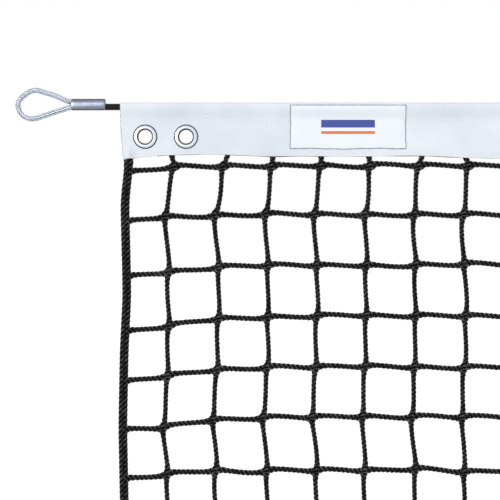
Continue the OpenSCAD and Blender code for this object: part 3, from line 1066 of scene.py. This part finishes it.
    def tie(self, shell: Shell, centres: Array, detail: Detail) -> None:
        """Wind two turns of cord round each knot's middle, on both sides of the row cord."""
        long, short = math.cos(self.knot_slope), math.sin(self.knot_slope)
        slope, side = np.array([long, 0, short]), np.array([-short, 0, long])
        around, steps = (10, 20) if detail is Detail.FINE else (4, 6)
        turn = np.arange(steps) * 2 * math.pi / steps
        for off, size in ((1.8, 1.0), (-1.8, 0.94)):
            loop = (np.cos(turn)[:, None] * slope * 3.4 + np.sin(turn)[:, None] * DEPTH * 2.6) * size + side * off
            loop = loop + side * (0.9 * np.sin(turn + off))[:, None]
            at = turn * 2.9
            if detail is Detail.FINE:
                radius, crown = self.knot_braid.radius(at, around)
            else:
                radius, crown = np.full((steps, around), self.knot_braid.diameter * 0.42), np.full((steps, around), 0.5)
            shell.grid(centres[:, None, None] + tube(loop, radius, side, closed=True), loop=True, crown=crown)

    def panel(self, name: str, columns: range, rows: range, detail: Detail) -> None:
        """Build the rows, uprights and knots of one rectangle of the mesh.

        Args:
            name: the piece's name.
            columns: the knots' columns, with the row cord on the left of each.
            rows: the knots' rows, with the upright cord below each.
            detail: how finely the cords are drawn.
        """
        shell = Shell()
        pick = np.array(columns)
        for row in rows:
            knots = self.knots[row]
            left = knots[pick - 1].copy()
            if pick[0] == 0:
                left[0] = self.rope_end(Side.LEFT, row)
            bows = self.bow[:2, row, pick]
            self.skin(shell, self.cords(left, knots[pick], bows, detail.along, False), self.row_braid, detail)
            if pick[-1] == self.columns - 1:
                last = self.cords(knots[-1:], self.rope_end(Side.RIGHT, row)[None], self.bow[:2, row, -1:],
                                  detail.along, False)
                self.skin(shell, last, self.row_braid, detail)
            below = self.knots[row + 1][pick] if row + 1 < self.rows else self.feet()[pick]
            uprights = self.cords(knots[pick], below, self.bow[2:, row, pick], detail.along, True)
            self.skin(shell, uprights, self.column_braid, detail)
            lowered = np.array([0.0, 0.0, self.swing_room if row == 0 else 0.0])
            self.tie(shell, knots[pick] - lowered, detail)
        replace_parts(shell.make(name, self.cord, Body.NETTING), "mesh_rows", "mesh_columns")

    def rope_end(self, side: Side, row: int) -> Array:
        """Give where a row's cord meets a side rope."""
        height = self.first_row + (self.last_row - self.first_row) * row / (self.rows - 1) - self.drops[row]
        return np.array([float(self.rope_x(side, np.array(height))), 0.0, height])

    def feet(self) -> Array:
        """Give where the uprights meet the bottom rope."""
        feet = self.knots[-1].copy()
        feet[:, 2] = self.bottom
        feet[:, 1] = 0.0
        return feet

    def build_ties(self) -> None:
        """Build the short ends that hold the first knots up in the headband's edge."""
        heads = self.knots[0].copy()
        heads[:, 0] += self.lean
        heads[:, 1] = 0.0
        heads[:, 2] = self.band.bottom + 0.5
        lifted = self.band.flow(heads)
        bows = np.zeros((2, self.columns))
        parts = (("mesh_head_ties_corner", slice(0, self.fine_columns), Detail.FINE),
                 ("mesh_head_ties", slice(self.fine_columns, None), Detail.PLAIN))
        for name, which, detail in parts:
            shell = Shell()
            steps = 22 if detail is Detail.FINE else 7
            line = self.cords(lifted[which], self.knots[0][which], bows[:, which], steps, True)
            at = lengths(line)
            far = np.maximum(at[:, -1:] - at, 0)
            flare = 1 + 0.3 * np.exp(-(far / 4) ** 2)
            radius, crown = self.section(self.column_braid, at, detail)
            rings = tube(line, radius * flare[..., None])
            out = rings - line[..., None, :]
            out[..., 0] *= (1 + 0.45 * np.exp(-(at / 3.0) ** 2))[..., None]
            out[..., 1] *= (0.12 + 0.88 * ease((at - 0.6) / 2.4))[..., None]
            out[..., 2] *= (0.1 + 0.9 * ease((at - 0.3) / 2.4))[..., None]
            shell.grid(line[..., None, :] + out, crown=crown)
            ties = shell.make(name, self.cord, None)
            self.bend(ties, 2.6, 3.2)
            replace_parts(ties, "top_cord")

    def bend(self, piece: bpy.types.Object, above: float, below: float) -> None:
        """Bake a piece's placement into its mesh; nothing is bent here."""
        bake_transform(piece)

    def rope_line(self, side: Side, heights: Array) -> Array:
        """Give a side rope's middle line."""
        return np.stack([self.rope_x(side, heights), 0.6 * np.sin(heights / 70), heights], axis=-1)

    def build_side_rope(self, side: Side) -> None:
        """Braid a side rope, whose head is held in the band."""
        node = f"side_rope_{side.value}"
        turning = self.hinge - 10
        low = np.arange(turning, self.bottom - 1, -0.8)
        high = np.arange(self.hinge + 1.5, turning - 0.4, -0.8)
        first = high[0]
        shell = Shell()
        radius, crown = self.rope_braid.radius(first - low, 20)
        shell.grid(tube(self.rope_line(side, low), radius), crown=crown)
        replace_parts(shell.make(f"{node}_braid", self.rope, Body.NETTING), node)
        head = Shell()
        swell = (1 + 0.08 * np.exp(-((high - self.hinge + 3) / 4) ** 2)) * (0.7 + 0.3 * ease((first - high) / 2))
        radius, crown = self.rope_braid.radius(first - high, 20)
        head.grid(tube(self.rope_line(side, high), radius * swell[:, None]), crown=crown)
        self.bend(head.make(f"{node}_head", self.rope, None), 0.4, 9.0)

    def build_bottom_rope(self) -> None:
        """Braid the rope along the net's foot."""
        left = float(self.rope_x(Side.LEFT, np.array(self.bottom)))
        right = float(self.rope_x(Side.RIGHT, np.array(self.bottom)))
        xs = np.arange(left - 3, right + 3, 1.9)
        line = np.stack([xs, 0.5 * np.sin(xs / 60), np.full(len(xs), self.bottom)], axis=-1)
        ends = np.minimum(1.0, np.minimum(xs - xs[0], xs[-1] - xs) / 3 + 0.3)
        shell = Shell()
        radius, crown = self.rope_braid.radius(xs - xs[0], 12)
        shell.grid(tube(line, radius * ends[:, None]), crown=crown)
        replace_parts(shell.make("bottom_rope_braid", self.rope, Body.NETTING), "bottom_rope")

    def build(self) -> None:
        """Build the whole mesh and its ropes."""
        edges = (0, 5, 9, 13, 17, self.rows)
        for number, (first, last) in enumerate(zip(edges, edges[1:]), 1):
            self.panel(f"mesh_corner_{number}", range(0, self.fine_columns), range(first, last), Detail.FINE)
        starts = range(self.fine_columns, self.columns, self.panel_columns)
        for number, start in enumerate(starts, 1):
            stop = min(start + self.panel_columns, self.columns)
            self.panel(f"mesh_panel_{number:02d}", range(start, stop), range(self.rows), Detail.PLAIN)
        self.build_ties()
        self.build_side_rope(Side.LEFT)
        self.build_side_rope(Side.RIGHT)
        self.build_bottom_rope()


# ----------------------------------------------------------------------------------------------- scene


def dress_node(name: str, finish: Finish) -> None:
    """Give a node of the mechanical model, which stays in view, its finish."""
    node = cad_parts[name]
    node.data.materials.clear()
    node.data.materials.append(finish.material())
    LOG.info("%s: kept, %s", name, type(finish).__name__)


@dataclass
class Studio:
    """A plain pale floor, soft light and a long lens looking level at the net's upper left corner."""

    target: tuple[float, float, float] = (0.2024, 0.0, -0.1352)
    window: float = 0.465
    lens: float = 120.0
    sensor: float = 36.0
    sky: float = 0.64
    key: float = 1.5
    back: float = 1.2

    def build_camera(self) -> None:
        """Set up the camera."""
        data = bpy.data.cameras.new("camera")
        data.lens = self.lens
        data.sensor_width = self.sensor
        data.clip_end = 500
        camera = bpy.data.objects.new("camera", data)
        x, y, z = self.target
        camera.location = (x, y - self.window * self.lens / self.sensor, z)
        camera.rotation_euler = (math.pi / 2, 0, 0)
        bpy.context.scene.collection.objects.link(camera)
        bpy.context.scene.camera = camera

    def build_world(self) -> None:
        """Make the sky: white where it is seen, also in metal, and softer as a light."""
        world = bpy.data.worlds.new("studio")
        bpy.context.scene.world = world
        world.use_nodes = True
        tree = world.node_tree
        tree.nodes.clear()
        path = add_node(tree, "LightPath")
        seen = add_node(tree, "Math", {}, {0: path.outputs["Is Camera Ray"], 1: path.outputs["Is Glossy Ray"]},
                        operation="MAXIMUM")
        through = add_node(tree, "Math", {}, {0: seen.outputs[0], 1: path.outputs["Is Transmission Ray"]},
                           operation="MAXIMUM")
        strength = add_node(tree, "MapRange", {3: self.sky, 4: 1.0}, {0: through.outputs[0]})
        sky = add_node(tree, "Background", {"Color": (1, 1, 1, 1)}, {"Strength": strength.outputs[0]})
        add_node(tree, "OutputWorld", links={"Surface": sky.outputs[0]})

    def build_lamps(self) -> None:
        """Hang a soft key lamp in front, high on the left, and a weaker one behind."""
        for name, power, turn in (("key", self.key, (83, 0, -20)), ("rear", self.back, (62, 0, 160))):
            data = bpy.data.lights.new(name, "SUN")
            data.energy = power
            data.angle = math.radians(14)
            lamp = bpy.data.objects.new(name, data)
            lamp.rotation_euler = tuple(math.radians(a) for a in turn)
            bpy.context.scene.collection.objects.link(lamp)

    def build_floor(self, height: float) -> None:
        """Lay the pale floor under the net, which keeps the net's shadow."""
        mesh = bpy.data.meshes.new("floor")
        reach = 250.0
        corners = [(-reach, -reach, height), (reach, -reach, height), (reach, reach, height),
                   (-reach, reach, height)]
        mesh.from_pydata(corners, [], [(0, 1, 2, 3)])
        floor = bpy.data.objects.new("floor", mesh)
        bpy.context.scene.collection.objects.link(floor)
        paint = bpy.data.materials.new("floor_paint")
        paint.use_nodes = True
        tree = paint.node_tree
        tree.nodes.clear()
        path = add_node(tree, "LightPath")
        seen = add_node(tree, "Math", {}, {0: path.outputs["Is Camera Ray"], 1: path.outputs["Is Glossy Ray"]},
                        operation="MAXIMUM")
        power = add_node(tree, "Math", {1: 0.62}, {0: seen.outputs[0]}, operation="MULTIPLY")
        glow = add_node(tree, "Emission", {"Color": (1, 1, 1, 1)}, {"Strength": power.outputs[0]})
        pale = add_node(tree, "BsdfDiffuse", {"Color": linear("#c4c4c4")})
        both = add_node(tree, "AddShader", {}, {0: pale.outputs[0], 1: glow.outputs[0]})
        add_node(tree, "OutputMaterial", links={"Surface": both.outputs[0]})
        mesh.materials.append(paint)

    def build(self) -> None:
        """Set the whole studio up."""
        bpy.context.scene.view_settings.view_transform = "Standard"
        self.build_camera()
        self.build_world()
        self.build_lamps()
        self.build_floor(CAD_BOX[0][2] - 0.0005)


def main() -> None:
    """Build the net, piece by piece."""
    logging.basicConfig(level=logging.INFO, format="%(message)s")
    Studio().build()
    band_low, band_high = box_mm("headband")
    band = Headband(start=band_low[0], end=band_high[0], top=band_high[2], bottom=band_low[2],
                    cable_z=float(sum(b[2] for b in box_mm("cable_jacket")) / 2))
    band.build()
    loop_low, loop_high = box_mm("loop_left")
    start = box_mm("ferrule_left")[0][0]
    for side in Side:
        end = CableEnd(side, band.middle, (loop_high[2] - loop_low[2]) / 2 - CableEnd.wire / 2)
        end.build_loop(f"loop_{side.value}", start)
        end.build_sleeve(f"ferrule_{side.value}")
    dress_node("cable_jacket", BlackPVC("black_pvc"))
    dress_node("wire_rope", GalvanisedWire("galvanised_wire"))
    columns, rows = box_mm("mesh_columns"), box_mm("mesh_rows")
    left, right = box_mm("side_rope_left"), box_mm("side_rope_right")
    foot, head = box_mm("bottom_rope"), box_mm("top_cord")
    cord = (columns[1][1] - columns[0][1]) / 2
    netting = Netting(rope_left=(left[0][0] + left[1][0]) / 2, rope_right=(right[0][0] + right[1][0]) / 2,
                      first_column=columns[0][0] + cord, last_column=columns[1][0] - cord,
                      first_row=rows[1][2] - cord, last_row=rows[0][2] + cord,
                      hinge=(head[0][2] + head[1][2]) / 2, bottom=(foot[0][2] + foot[1][2]) / 2, band=band)
    netting.build()


if __name__ == "__main__":
    main()
